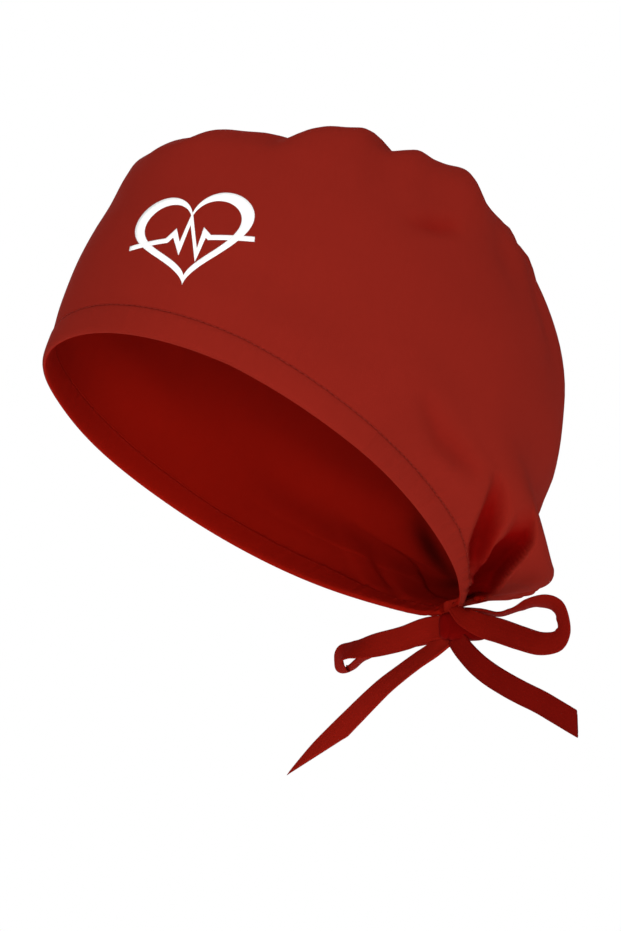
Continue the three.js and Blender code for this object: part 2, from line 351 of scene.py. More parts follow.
def relief(around, level):
    """The height of all gathers and puckers over the smooth form."""
    lift = ripples(around, level)
    for spot, ring, reach, rings, height in PUCKERS:
        beside = (around - spot + 180) % 360 - 180
        lift += height * np.exp(-((beside / reach) ** 2) - ((level - ring) / rings) ** 2)
    nape = 180 - np.abs(around)
    gathered = np.exp(-((nape / GATHER_REACH) ** 4)) * np.clip(level / 1.5, 0.25, 1)
    gathered = gathered * np.clip((4.2 - level) / 2.6, 0, 1)
    groove = GROOVE_DEPTH * np.exp(-(((level - stitch_level(around)) / GROOVE_LEVELS) ** 2))
    pleats = np.cos(np.radians(nape * GATHER_PACE + 40 * np.sin(level * 1.3)))
    height = GATHER_HEIGHT + np.where(around < 0, RIGHT_MORE * np.clip(nape / 6, 0, 1), 0)
    return lift - groove + height * gathered * pleats


def tucks(around, level, points, normals):
    """How the folds move points of the smooth form, and the painted shade in their depth. They fade out
    over the hem.
    """
    move, dark = np.zeros(points.shape), np.zeros(points.shape[:-1])
    fade = np.clip(2 * level / stitch_level(around) - 1, 0, 1)
    for fold in FOLDS.values():
        aslant = fold.get("aslant", 0)
        for side, share in ((1, 1), (-1, RIGHT_SHARE)):
            way = normals * (1 - aslant) + FACING * (side, 1, 1) * aslant
            lift = fold_lift(points, normals, fold, side) * share * fade
            move += way * lift[..., None]
            # Painted shade: the deeper the fold, the darker its colour is drawn, up to the fold's shade.
            dark = np.maximum(dark, np.clip(-lift / SHADE_DEPTH, 0, 1) * fold.get("shade", 0))
    return move, dark


def cloth(around, level, offset=0.0):
    """Points of the cloth's outer face, lifted outward by offset, in millimetres."""
    around, level = np.broadcast_arrays(np.asarray(around, float), np.asarray(level, float))
    points, normals = smooth_crown(around, level), outward(around, level)
    lift = relief(around, level) + offset
    return points + normals * np.asarray(lift)[..., None] + tucks(around, level, points, normals)[0]


def cloth_shade(around, level):
    """How much painted shade darkens the cloth in the depth of its folds, from 0 to 1."""
    return tucks(around, level, smooth_crown(around, level), outward(around, level))[1]


# Where the gathers keep the light from the inside of the pouch.
INSIDE_SHADE = (
    # around, level, reach, levels, share
    (-135.5, 3.6, 4, 0.5, 0.6),
    (-138.5, 2.8, 3, 0.4, 0.45),
    (-138, 3.3, 16, 1.4, 0.25),
)


def inside_shade(around, level):
    """How much painted shade darkens the cloth's wrong side in the depth of the gathers, from 0 to 1."""
    dark = np.zeros(np.shape(around))
    for spot, ring, reach, rings, share in INSIDE_SHADE:
        dark += share * np.exp(-(((around - spot) / reach) ** 2) - ((level - ring) / rings) ** 2)
    return np.clip(dark, 0, 0.95)


# Meshes

# The attributes that hold painted shade: one in the folds and on the tape, one on the cap's inside.
SHADES = ("fold_shade", "inside_shade")


def finish_mesh(name, bm, material, smooth=True):
    """Turns a bmesh into a linked object at the origin."""
    bmesh.ops.recalc_face_normals(bm, faces=bm.faces)
    mesh = bpy.data.meshes.new(name)
    bm.to_mesh(mesh)
    bm.free()
    mesh.shade_smooth() if smooth else mesh.shade_flat()
    mesh.materials.append(material)
    piece = bpy.data.objects.new(name, mesh)
    bpy.context.collection.objects.link(piece)
    return piece


def shaped_grid(points, uvs, close_around=False, close_up=False, shades=None, inside=()):
    """A bmesh grid moved to points[i, j], with a UV map in metres from uvs[i, j].

    shades holds values[i, j] by attribute name. Faces between rows of inside take the second material.
    """
    wide, high = points.shape[:2]
    shades = shades or {}
    bm = bmesh.new()
    layer = bm.loops.layers.uv.new("UVMap")
    dark = {name: bm.verts.layers.float.new(name) for name in SHADES}
    bmesh.ops.create_grid(bm, x_segments=wide - 1, y_segments=high - 1, size=0.5)
    place = {}
    for vert in bm.verts:
        i, j = round((vert.co.x + 0.5) * (wide - 1)), round((vert.co.y + 0.5) * (high - 1))
        place[vert] = (i, j)
    for face in bm.faces:
        face.material_index = int(all(place[vert][1] in inside for vert in face.verts))
        for loop in face.loops:
            loop[layer].uv = uvs[place[loop.vert]]
    for vert, spot in place.items():
        vert.co = Vector(points[spot]) * MM
        for name, values in shades.items():
            vert[dark[name]] = values[spot]
    if close_around or close_up:
        edge = [v for v, (i, j) in place.items() if i in (0, wide - 1) or j in (0, high - 1)]
        bmesh.ops.remove_doubles(bm, verts=edge, dist=0.02 * MM)
    return bm


def spread(*stops):
    """Values from stop to stop: each pair is a value and the step used up to it."""
    values = [stops[0]]
    for upto, step in stops[1:]:
        count = max(1, round((upto - values[-1]) / step))
        values += list(np.linspace(values[-1], upto, count + 1)[1:])
    return np.array(values)


def node(tree, kind, place=(0, 0), **values):
    """A new shader node. Named values set its sockets by name or its own settings."""
    made = tree.nodes.new(kind)
    made.location = place
    for name, value in values.items():
        socket = made.inputs.get(name.replace("_", " "))
        if socket is not None and not hasattr(made, name):
            socket.default_value = value
        else:
            setattr(made, name, value)
    return made


def math_node(tree, operation, a, b=None):
    """A Math node whose inputs are numbers or other nodes' sockets."""
    made = tree.nodes.new("ShaderNodeMath")
    made.operation = operation
    for socket, value in zip(made.inputs, (a, b)):
        if isinstance(value, bpy.types.NodeSocket):
            tree.links.new(value, socket)
        elif value is not None:
            socket.default_value = value
    return made.outputs[0]


def scaled(tree, socket, gain, base):
    """A socket's value times gain, plus base."""
    made = math_node(tree, "MULTIPLY_ADD", socket, gain)
    made.node.inputs[2].default_value = base
    return made


def weave_group():
    """Plain weave: warp and weft threads that pass over each other in turn."""
    tree = bpy.data.node_groups.get("plain_weave")
    if tree:
        return tree
    tree = bpy.data.node_groups.new("plain_weave", "ShaderNodeTree")
    for name, kind in (("Cloth Place", "NodeSocketVector"), ("Threads per Metre", "NodeSocketFloat")):
        tree.interface.new_socket(name, in_out="INPUT", socket_type=kind)
    for name in ("Height", "Slub"):
        tree.interface.new_socket(name, in_out="OUTPUT", socket_type="NodeSocketFloat")
    start, end = tree.nodes.new("NodeGroupInput"), tree.nodes.new("NodeGroupOutput")
    split = tree.nodes.new("ShaderNodeSeparateXYZ")
    tree.links.new(start.outputs["Cloth Place"], split.inputs[0])
    rate = start.outputs["Threads per Metre"]
    across = math_node(tree, "MULTIPLY", split.outputs["X"], rate)
    along = math_node(tree, "MULTIPLY", split.outputs["Y"], rate)
    threads = []
    for place in (across, along):
        turn = math_node(tree, "MULTIPLY", place, math.pi)
        threads.append(math_node(tree, "ABSOLUTE", math_node(tree, "SINE", turn)))
    cells = math_node(tree, "ADD", math_node(tree, "FLOOR", across), math_node(tree, "FLOOR", along))
    over = math_node(tree, "FLOORED_MODULO", cells, 2.0)
    warp = math_node(tree, "MULTIPLY", threads[0], over)
    weft = math_node(tree, "MULTIPLY", threads[1], math_node(tree, "SUBTRACT", 1.0, over))
    tree.links.new(math_node(tree, "ADD", warp, weft), end.inputs["Height"])
    stretch = tree.nodes.new("ShaderNodeVectorMath")
    stretch.operation = "MULTIPLY"
    stretch.inputs[1].default_value = (900.0, 60.0, 1.0)
    tree.links.new(start.outputs["Cloth Place"], stretch.inputs[0])
    noise = node(tree, "ShaderNodeTexNoise", Scale=1.0, Detail=2.0)
    tree.links.new(stretch.outputs[0], noise.inputs["Vector"])
    tree.links.new(noise.outputs["Fac"], end.inputs["Slub"])
    return tree


def new_material(name, roughness, specular):
    """A new material, its tree and its shader."""
    material = bpy.data.materials.new(name)
    material.use_nodes = True
    shader = material.node_tree.nodes["Principled BSDF"]
    shader.inputs["Roughness"].default_value = roughness
    shader.inputs["Specular IOR Level"].default_value = specular
    return material, material.node_tree, shader


def cloth_material(name, colour, threads, creases, deep, shade_name):
    """Matte plain-woven cotton, with slubs, faint unevenness of dye and fine creases.

    deep is the share of its red and of its green and blue kept where the painted shade is 1.
    """
    material, tree, shader = new_material(name, 0.95, 0.02)
    place = node(tree, "ShaderNodeTexCoord", (-1400, 0))
    weave = tree.nodes.new("ShaderNodeGroup")
    weave.node_tree = weave_group()
    weave.inputs["Threads per Metre"].default_value = threads
    tree.links.new(place.outputs["UV"], weave.inputs["Cloth Place"])
    patches = node(tree, "ShaderNodeTexNoise", (-1100, 300), Scale=28.0, Detail=3.0, Roughness=0.55)
    tree.links.new(place.outputs["Object"], patches.inputs["Vector"])
    shade = scaled(tree, patches.outputs["Fac"], 0.1, 0.92)
    threads_shade = scaled(tree, weave.outputs["Height"], 0.06, 0.955)
    slubs = scaled(tree, weave.outputs["Slub"], 0.06, 0.97)
    # Painted shade: the attribute shade_name takes the colour towards deep's shares, and dyed is the
    # dye's colour with that painted shade on it.
    depth = node(tree, "ShaderNodeAttribute", (-1100, 600), attribute_name=shade_name)
    lit = node(tree, "ShaderNodeVectorMath", (-800, 600), operation="MULTIPLY_ADD")
    lit.inputs[1].default_value = (deep[0] - 1, deep[1] - 1, deep[1] - 1)
    lit.inputs[2].default_value = (1, 1, 1)
    tree.links.new(depth.outputs["Fac"], lit.inputs[0])
    dyed = node(tree, "ShaderNodeVectorMath", (-500, 600), operation="MULTIPLY")
    dyed.inputs[1].default_value = colour[:3]
    tree.links.new(lit.outputs[0], dyed.inputs[0])
    whole = math_node(tree, "MULTIPLY", math_node(tree, "MULTIPLY", shade, threads_shade), slubs)
    tint = node(tree, "ShaderNodeVectorMath", (-300, 300), operation="SCALE")
    tree.links.new(dyed.outputs[0], tint.inputs[0])
    tree.links.new(whole, tint.inputs["Scale"])
    tree.links.new(tint.outputs[0], shader.inputs["Base Color"])
    crease = node(tree, "ShaderNodeTexNoise", (-1100, -300), Scale=95.0, Detail=4.0, Roughness=0.6)
    tree.links.new(place.outputs["Object"], crease.inputs["Vector"])
    first = node(tree, "ShaderNodeBump", (-600, -300), Strength=creases, Distance=0.0006)
    tree.links.new(crease.outputs["Fac"], first.inputs["Height"])
    second = node(tree, "ShaderNodeBump", (-400, -300), Strength=0.5, Distance=0.00008)
    tree.links.new(weave.outputs["Height"], second.inputs["Height"])
    tree.links.new(first.outputs[0], second.inputs["Normal"])
    tree.links.new(second.outputs[0], shader.inputs["Normal"])
    return material


def plain_material(name, colour, roughness, grain, depth):
    """A plain finish with a fine grain: thread, print film or the floor."""
    material, tree, shader = new_material(name, roughness, 0.1)
    place = node(tree, "ShaderNodeTexCoord", (-900, 0))
    noise = node(tree, "ShaderNodeTexNoise", (-700, 0), Scale=grain, Detail=2.0)
    tree.links.new(place.outputs["Object"], noise.inputs["Vector"])
    shade = scaled(tree, noise.outputs["Fac"], 0.08, 0.96)
    tint = node(tree, "ShaderNodeVectorMath", (-300, 200), operation="SCALE")
    tint.inputs[0].default_value = colour[:3]
    tree.links.new(shade, tint.inputs["Scale"])
    tree.links.new(tint.outputs[0], shader.inputs["Base Color"])
    bump = node(tree, "ShaderNodeBump", (-300, -200), Strength=0.4, Distance=depth)
    tree.links.new(noise.outputs["Fac"], bump.inputs["Height"])
    tree.links.new(bump.outputs[0], shader.inputs["Normal"])
    return material


# Settings

# The width, in millimetres, that the emblem's outline is drawn for.
PRINT_DRAWN = 50
LENGTH = {"subtype": "DISTANCE", "unit": "LENGTH"}
COLOUR = {"subtype": "COLOR", "size": 3, "min": 0, "max": 1}


class CapSettings(bpy.types.PropertyGroup):
    """The cap's sizes and colours."""

    cloth_colour: FloatVectorProperty(
        name="Cloth colour", description="Colour of the dyed cotton",
        **COLOUR, default=(0.224, 0.0138, 0.008),
    )
    # Painted shade: the cloth's colour in the deep, saturated tone that it has in the shade inside the
    # cap, with more red and far less green and blue than cloth_colour.
    inside_colour: FloatVectorProperty(
        name="Inside colour", description="Colour of the cotton's wrong side",
        **COLOUR, default=(0.268, 0.0056, 0.002),
    )
    print_colour: FloatVectorProperty(
        name="Print colour", description="Colour of the printed emblem",
        **COLOUR, default=(0.92, 0.92, 0.91),
    )
    cloth_thickness: FloatProperty(
        name="Cloth thickness", description="Thickness of the crown's cloth",
        **LENGTH, default=1.2 * MM,
    )
    hem_thickness: FloatProperty(
        name="Hem thickness", description="Thickness of the folded hem with the tape in it",
        **LENGTH, default=1.9 * MM,
    )
    thread_pitch: FloatProperty(
        name="Thread pitch", description="Distance between threads of the weave",
        **LENGTH, default=0.42 * MM,
    )
    stitch_pitch: FloatProperty(
        name="Stitch pitch", description="Distance from one hem stitch to the next",
        **LENGTH, default=2.8 * MM,
    )
    stitch_length: FloatProperty(
        name="Stitch length", description="Length of thread that shows in one stitch",
        **LENGTH, default=2.45 * MM,
    )
    thread_radius: FloatProperty(
        name="Thread radius", description="Radius of the sewing thread",
        **LENGTH, default=0.2 * MM,
    )
    tape_width: FloatProperty(
        name="Tape width", description="Width of the tie tape",
        **LENGTH, default=10.4 * MM,
    )
    tape_thickness: FloatProperty(
        name="Tape thickness", description="Thickness of the folded tie tape",
        **LENGTH, default=1.3 * MM,
    )
    print_width: FloatProperty(
        name="Print width", description="Width of the printed emblem",
        **LENGTH, default=PRINT_DRAWN * MM,
    )


def settings():
    """The sizes and colours in use."""
    return bpy.context.scene.scrub_cap


# Cottons: the setting that holds their colour, the shares of its red, green and blue, how creased
# they are, the shares of their red and of their green and blue in full painted shade, and the name
# of the attribute that holds that painted shade. The tape's and the knot's shares are painted shade:
# copies of the cloth's colour with far less green and blue for the bow that hangs in shade, the
# knot's darker still. cap_cotton_inside starts from the inside's colour, which is painted shade.
COTTONS = {
    "cap_cotton": ("cloth_colour", (1, 1, 1), 0.25, (0.97, 0.1), "fold_shade"),
    "cap_cotton_inside": ("inside_colour", (1, 1, 1), 0.25, (0, 0), "inside_shade"),
    "tape_cotton": ("cloth_colour", (1.1, 0.57, 0.46), 0.35, (0.3, 0), "fold_shade"),
    "knot_cotton": ("cloth_colour", (0.64, 0.1, 0.1), 0.5, (0.3, 0), "fold_shade"),
}
# Plain finishes: the setting that holds their colour, the share of it, roughness, grains for each
# metre and their depth. The inside thread's colour comes from the inside's, which is painted shade.
PLAIN_FINISHES = {
    "sewing_thread": ("cloth_colour", 0.98, 0.8, 2600, 0.05 * MM),
    "sewing_thread_inside": ("inside_colour", 0.95, 0.8, 2600, 0.05 * MM),
    "print_film": ("print_colour", 1, 0.55, 1400, 0.04 * MM),
}
# The floor's colour, roughness, grains for each metre and their depth.
FLOOR_PAINT = ((0.9, 0.9, 0.9), 0.9, 60, 0.1 * MM)


def shared_material(name):
    """The named material, made on its first use."""
    found = bpy.data.materials.get(name)
    if found:
        return found
    cap = settings()
    if name in COTTONS:
        source, shares, *finish = COTTONS[name]
        colour = [share * value for share, value in zip(shares, getattr(cap, source))]
        return cloth_material(name, colour, 1 / cap.thread_pitch, *finish)
    if name in PLAIN_FINISHES:
        source, share, *finish = PLAIN_FINISHES[name]
        return plain_material(name, [share * value for value in getattr(cap, source)], *finish)
    floor = plain_material(name, *FLOOR_PAINT)
    shader = floor.node_tree.nodes["Principled BSDF"]
    shader.inputs["Emission Color"].default_value = (1, 1, 1, 1)
    shader.inputs["Emission Strength"].default_value = FLOOR_GLOW
    return floor


def carry(piece, slot, *nodes):
    """Gives a finished piece its body and hides the nodes that it stands for. slot is not used."""
    if nodes:
        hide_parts(*nodes)
    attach(piece, BODY)
    return piece


# Crown and hem

LEFT_COLUMNS = spread(0, (105, 1.05), (180, 0.55))
RIGHT_COLUMNS = spread(0, (105, 1.05), (180, 0.7))
COLUMNS = np.concatenate([-RIGHT_COLUMNS[::-1], LEFT_COLUMNS[1:]])
HEM_TOP = 0.93
CROWN_ROWS = spread(HEM_TOP, (3.3, 0.062), (8, 0.17), (TOP_LEVEL, 0.25))


class CAP_OT_crown(bpy.types.Operator):
    """Builds the gathered crown as one sheet of cloth with a thin wall"""

    bl_idname = "scrub_cap.crown"
    bl_label = "Crown"

    def execute(self, context):
        around, row = np.meshgrid(COLUMNS, CROWN_ROWS, indexing="ij")
        seam = stitch_level(around)
        level = seam + (row - HEM_TOP) * (TOP_LEVEL - seam) / (TOP_LEVEL - HEM_TOP)
        points = cloth(around, level)
        middle = points[:, -1].mean(0)
        closing = [middle + (points[:, -1] - middle) * share for share in (0.5, 0.0)]
        points = np.concatenate([points, np.stack(closing, 1)], 1)
        up = np.linalg.norm(np.diff(points, axis=1), axis=-1).cumsum(1)
        up = np.concatenate([np.zeros((len(up), 1)), up], 1)
        uvs = np.stack([np.repeat(COLUMNS[:, None] * CLOTH_RUN, up.shape[1], 1), up], -1) * MM
        values = (cloth_shade(around, level), inside_shade(around, level))
        shades = {name: np.pad(value, ((0, 0), (0, 2))) for name, value in zip(SHADES, values)}
        bm = shaped_grid(points, uvs, close_around=True, close_up=True, shades=shades)
        piece = finish_mesh("crown_cloth", bm, shared_material("cap_cotton"))
        wall = piece.modifiers.new("wall", "SOLIDIFY")
        wall.thickness, wall.offset = settings().cloth_thickness, -1
        # The inner face takes cap_cotton_inside, whose colour is painted shade.
        piece.data.materials.append(shared_material("cap_cotton_inside"))
        wall.material_offset = 1
        carry(piece, "cap_cloth", "crown")
        return {"FINISHED"}


# The hem's section: its level as a share of the stitch line's, and its place through the hem,
# 0 at the outer face and 1 at the inner. bulge swells the outside, drop lowers the edge, in mm.
HEM_SECTION = (
    # share, through, bulge, drop
    (1.03, 0.32, 0, 0),
    (1.0, 0.17, 0, 0),
    (0.97, 0.03, 0, 0),
    (0.92, 0, 0.12, 0),
    (0.83, 0, 0.3, 0),
    (0.7, 0, 0.42, 0),
    (0.55, 0, 0.45, 0),
    (0.4, 0, 0.4, 0),
    (0.25, 0, 0.3, 0),
    (0.12, 0, 0.12, 0),
    (0.04, 0.03, 0, 0),
    (0, 0.14, 0, 0.35),
    (0, 0.32, 0, 0.72),
    (0, 0.5, 0, 0.85),
    (0, 0.68, 0, 0.72),
    (0, 0.86, 0, 0.35),
    (0.04, 0.97, 0, 0),
    (0.15, 1, -0.1, 0),
    (0.4, 1, -0.1, 0),
    (0.65, 0.97, 0, 0),
    (0.85, 0.88, 0, 0),
    (0.95, 0.77, 0, 0),
    (1.02, 0.66, 0, 0),
    (1.05, 0.55, 0, 0),
    (1.04, 0.45, 0, 0),
)
# The section's rows that show the cloth's wrong side. They take cap_cotton_inside, whose colour
# is painted shade.
HEM_INSIDE = range(13, len(HEM_SECTION))
HEM_COLUMNS = np.concatenate([-spread(0, (180, 0.5))[::-1], spread(0, (100, 0.5), (180, 0.3))[1:]])


class CAP_OT_hem(bpy.types.Operator):
    """Builds the folded hem that the tape runs in"""

    bl_idname = "scrub_cap.hem"
    bl_label = "Hem casing"

    def execute(self, context):
        thickness = settings().hem_thickness / MM
        seam = stitch_level(HEM_COLUMNS)
        rings, across, run = [], [], 0.0
        for share, through, bulge, drop in HEM_SECTION:
            ring = cloth(HEM_COLUMNS, seam * share, bulge - through * thickness)
            ring[:, 2] -= drop
            if rings:
                run += float(np.linalg.norm(ring - rings[-1], axis=-1).mean())
            rings.append(ring)
            across.append(run)
        points = np.stack([*rings, rings[0]], 1)
        across.append(run + 1)
        uvs = np.stack(np.meshgrid(HEM_COLUMNS * CLOTH_RUN, across, indexing="ij"), -1) * MM
        bm = shaped_grid(points, uvs, close_around=True, close_up=True, inside=HEM_INSIDE)
        piece = finish_mesh("hem_casing", bm, shared_material("cap_cotton"))
        piece.data.materials.append(shared_material("cap_cotton_inside"))
        carry(piece, "cap_cloth", "casing_band")
        return {"FINISHED"}


def stitch_row(name, material, spots, tangents, normals):
    """A row of stitches: short rounded threads that lie along tangents."""
    cap = settings()
    bm = bmesh.new()
    size = Matrix.Diagonal((cap.stitch_length / 2, cap.thread_radius, cap.thread_radius, 1))
    for spot, tangent, normal in zip(spots, tangents, normals):
        x, z = Vector(tangent).normalized(), Vector(normal)
        y = z.cross(x).normalized()
        z = x.cross(y)
        turn = Matrix((x, y, z)).transposed().to_4x4()
        turn.translation = Vector(spot) * MM
        bmesh.ops.create_uvsphere(bm, u_segments=6, v_segments=6, radius=1, matrix=turn @ size)
    piece = finish_mesh(name, bm, shared_material(material))
    return carry(piece, "cap_cloth")


class CAP_OT_stitches(bpy.types.Operator):
    """Sews the hem with one row of stitches outside and one inside"""

    bl_idname = "scrub_cap.stitches"
    bl_label = "Hem stitches"

    def execute(self, context):
        cap = settings()
        around = np.linspace(-179.9, 179.9, 2400)
        level = stitch_level(around)
        rows = (
            # name, material, millimetres over the cloth, share of the seam's level
            ("hem_stitches_outer", "sewing_thread", -0.02, 1.0),
            ("hem_stitches_inner", "sewing_thread_inside", -1.4, 0.93),
        )
        for name, material, lift, share in rows:
            line = cloth(around, level * share, lift)
            length = np.linalg.norm(np.diff(line, axis=0), axis=1)
            run = np.concatenate([[0], length.cumsum()])
            count = int(run[-1] / (cap.stitch_pitch / MM))
            at = np.interp((np.arange(count) + 0.5) / count * run[-1], run, np.arange(len(run)))
            pick = at.round().astype(int)
            tangents = np.gradient(line, axis=0)[pick]
            normals = outward(around[pick], level[pick])
            stitch_row(name, material, line[pick], tangents, normals)
        return {"FINISHED"}


# Tape: knot, loops and tails

KNOT_CENTRE = np.array((3, 95, -55))
KNOT_HALF = np.array((9.8, 5.6, 5.9))
# How square the knot is, how much it narrows and droops to the left, and its two creases: their
# places along it, their lean, width and depth.
KNOT_SQUARE, KNOT_TAPER, KNOT_TILT = 0.45, 0.42, 0.45
KNOT_CREASES, CREASE_LEAN, CREASE_WIDTH, CREASE_DEPTH = (-0.42, 0.18), 0.18, 0.07, 0.1

# Stations of each stretch of tape in millimetres. At turn 0 the tape's face looks along FACING,
# turn rotates it about its own run, and width is the share of the tape's full width.
# slant is how much longer the tape is along one edge than along the other. shade is painted shade
# for how the light falls on the stretch, the same all along it.
TAPES = {
    "left_loop": {
        "node": "tie_loop_left",
        "shade": 0.35,
        "stations": (
            # x, y, z, turn, width
            (2, 94, -48.9, 69, 0.8),
            (9, 99.9, -49.1, 74, 0.9),
            (17, 104.1, -50.5, 78, 1),
            (26, 106.6, -49.6, 74, 1),
            (35, 108.5, -48.1, 62, 1),
            (44, 109.9, -48.6, 54, 1),
            (50, 110.9, -51.2, 58, 1),
            (53, 111.4, -55.8, 68, 1),
            (53, 111.6, -61.1, 66, 1),
            (49, 110.6, -64.6, 46, 1),
            (42, 107.5, -64.9, 30, 1),
            (32, 104.5, -61.9, 20, 1),
            (22, 101.3, -58.3, 14, 1),
            (14, 97.6, -55.5, 12, 0.95),
            (9.5, 91.7, -51.8, 25, 0.8),
            (6, 89.3, -47.6, 45, 0.6),
        ),
    },
    "tape_exit": {
        "stations": (
            (1, 91.3, -44, 30, 0.75),
            (1.5, 91.6, -47, 20, 0.8),
            (2, 92.5, -51, 10, 0.8),
            (3, 93.5, -55, 0, 0.8),
        ),
    },
    "right_loop": {
        "node": "tie_loop_right",
        "shade": 0.18,
        "stations": (
            (-2, 92.9, -54.6, 16, 0.95),
            (-14, 88.5, -54.9, 12, 1),
            (-27, 84.4, -57.6, 12, 1),
            (-39, 80.5, -59.1, 16, 1),
            (-49, 77.3, -60, 38, 1),
            (-57, 74.8, -60.5, 58, 1),
            (-62.5, 73.9, -61.9, 64, 1),
            (-67, 75.5, -64.8, 66, 1),
            (-69.5, 78.3, -67.6, 69, 1),
            (-68, 81.4, -66.7, 71, 1),
            (-63, 83.6, -63.8, 72, 1),
            (-55, 86.1, -61.4, 70, 1),
            (-43, 89.2, -59.1, 57, 1),
            (-28, 92.8, -57.1, 43, 1),
            (-12, 97, -55.3, 44, 0.8),
        ),
    },
    "right_tail": {
        "node": "tie_tail_right",
        "slant": 39,
        "stations": (
            (-3, 92.1, -58.9, 45, 0.85),
            (-12, 89.6, -63.7, 56, 0.95),
            (-20, 86.5, -67.8, 58, 1),
            (-28, 83.4, -72.3, 56, 1),
            (-36, 80.1, -77.3, 51, 1),
            (-44, 77.3, -82.8, 46, 1),
            (-53, 74.5, -89.1, 42, 1),
            (-62, 71.1, -96, 38, 1),
            (-72, 67.7, -103.5, 37, 1),
            (-83, 64.7, -112.3, 37, 1),
            (-88, 63.4, -116.9, 36, 1),
        ),
    },
    "left_tail": {
        "node": "tie_tail_left",
        "shade": 0.6,
        "slant": 4,
        "stations": (
            (2, 91.9, -59, 37, 0.9),
            (7, 93.6, -65.5, 33, 0.95),
            (13, 95.6, -71.3, 28, 1),
            (19, 98.6, -76.2, 22, 1),
            (27, 101.1, -80.7, 20, 1),
            (34, 103.8, -84.4, 20, 1),
            (42, 107.1, -88.4, 21, 1),
            (50, 109.4, -92.6, 22, 1),
            (58, 111.5, -96.8, 23, 1),
            (62, 112.8, -99, 24, 1),
        ),
    },
}
TAPE_STEP, SECTION_POINTS = 0.5, 28
# How square the tape's section is across and through.
TAPE_SQUARE = (0.35, 0.75)
# The sewn line along the tape's edges: how far in it runs, its reach and its depth.
SEWN_IN, SEWN_REACH, SEWN_DEPTH = 1.4, 0.3, 0.14
# Where the knot bunches the tape: how far along, how much thicker, and its pleats.
BUNCH_REACH, BUNCH_MORE, PLEAT_HEIGHT, PLEAT_TURN = 9.0, 0.5, 0.45, 2.1


def through_points(points, count):
    """Points of a smooth curve through the given ones, at count even shares of its stations."""
    points = np.array(points, float)
    ends = np.concatenate([[2 * points[0] - points[1]], points, [2 * points[-1] - points[-2]]])
    at = np.linspace(0, len(points) - 1, count)
    low = np.minimum(at.astype(int), len(points) - 2)
    f = (at - low)[:, None]
    return smooth_between(*(ends[low + k] for k in range(4)), f)


def tape_frames(tape):
    """Centres, directions across, directions through, widths and run of a stretch of tape."""
    stations = np.array(tape["stations"], float)
    rough = np.linalg.norm(np.diff(stations[:, :3], axis=0), axis=1).sum()
    count = int(rough / TAPE_STEP)
    values = through_points(stations, count)
    centre, turn, width = values[:, :3], np.radians(values[:, 3]), values[:, 4]
    tangent = np.gradient(centre, axis=0)
    tangent /= np.linalg.norm(tangent, axis=1, keepdims=True)
    wide = np.cross(tangent, FACING)
    wide /= np.linalg.norm(wide, axis=1, keepdims=True)
    thick = np.cross(tangent, wide)
    wide, thick = (
        wide * np.cos(turn)[:, None] + thick * np.sin(turn)[:, None],
        thick * np.cos(turn)[:, None] - wide * np.sin(turn)[:, None],
    )
    run = np.concatenate([[0], np.linalg.norm(np.diff(centre, axis=0), axis=1).cumsum()])
    return centre, wide, thick, width, run


class CAP_OT_tape(bpy.types.Operator):
    """Builds the tape's loops and tails as folded strips"""

    bl_idname = "scrub_cap.tape"
    bl_label = "Tie tape"

    def execute(self, context):
        cap = settings()
        half_width, half_thick = cap.tape_width / 2 / MM, cap.tape_thickness / 2 / MM
        angle = np.linspace(0, 2 * math.pi, SECTION_POINTS + 1)
        flat = signed_power(np.cos(angle), TAPE_SQUARE[0])
        deep = signed_power(np.sin(angle), TAPE_SQUARE[1])
        for name, tape in TAPES.items():
            centre, wide, thick, width, run = tape_frames(tape)
            share = (flat + 1) / 2
            short = tape.get("slant", 0) * (1 - share)
            at = (run / run[-1])[:, None] * (run[-1] - short)
            frames = np.concatenate([centre, wide, thick, width[:, None]], 1)
            placed = np.stack([np.interp(at, run, column) for column in frames.T], -1)
            middle, side, through = placed[..., 0:3], placed[..., 3:6], placed[..., 6:9]
            across = half_width * placed[..., 9] * flat
            from_knot = np.minimum(at, run[-1] - at) if "loop" in name else at
            bunched = np.exp(-((from_knot / BUNCH_REACH) ** 2))
            beside = half_width - np.abs(across) - SEWN_IN
            out = half_thick * deep * (1 + BUNCH_MORE * bunched)
            out = out - SEWN_DEPTH * np.sign(deep) * np.exp(-((beside / SEWN_REACH) ** 2))
            out = out + PLEAT_HEIGHT * bunched * np.sin(across * PLEAT_TURN + 1)
            points = middle + side * across[..., None] + through * out[..., None]
            uvs = np.stack(np.meshgrid(run, angle / math.pi * 2 * half_width, indexing="ij"), -1) * MM
            # Painted shade for the whole stretch.
            shades = {"fold_shade": np.full(points.shape[:2], tape.get("shade", 0))}
            bm = shaped_grid(points, uvs, close_up=True, shades=shades)
            ends = [edge for edge in bm.edges if edge.is_boundary]
            bmesh.ops.holes_fill(bm, edges=ends, sides=0)
            # The tape's colour is painted shade: a deeper copy of the cloth's colour.
            piece = finish_mesh(name, bm, shared_material("tape_cotton"))
            carry(piece, "tie_tape", *([tape["node"]] if "node" in tape else []))
        return {"FINISHED"}


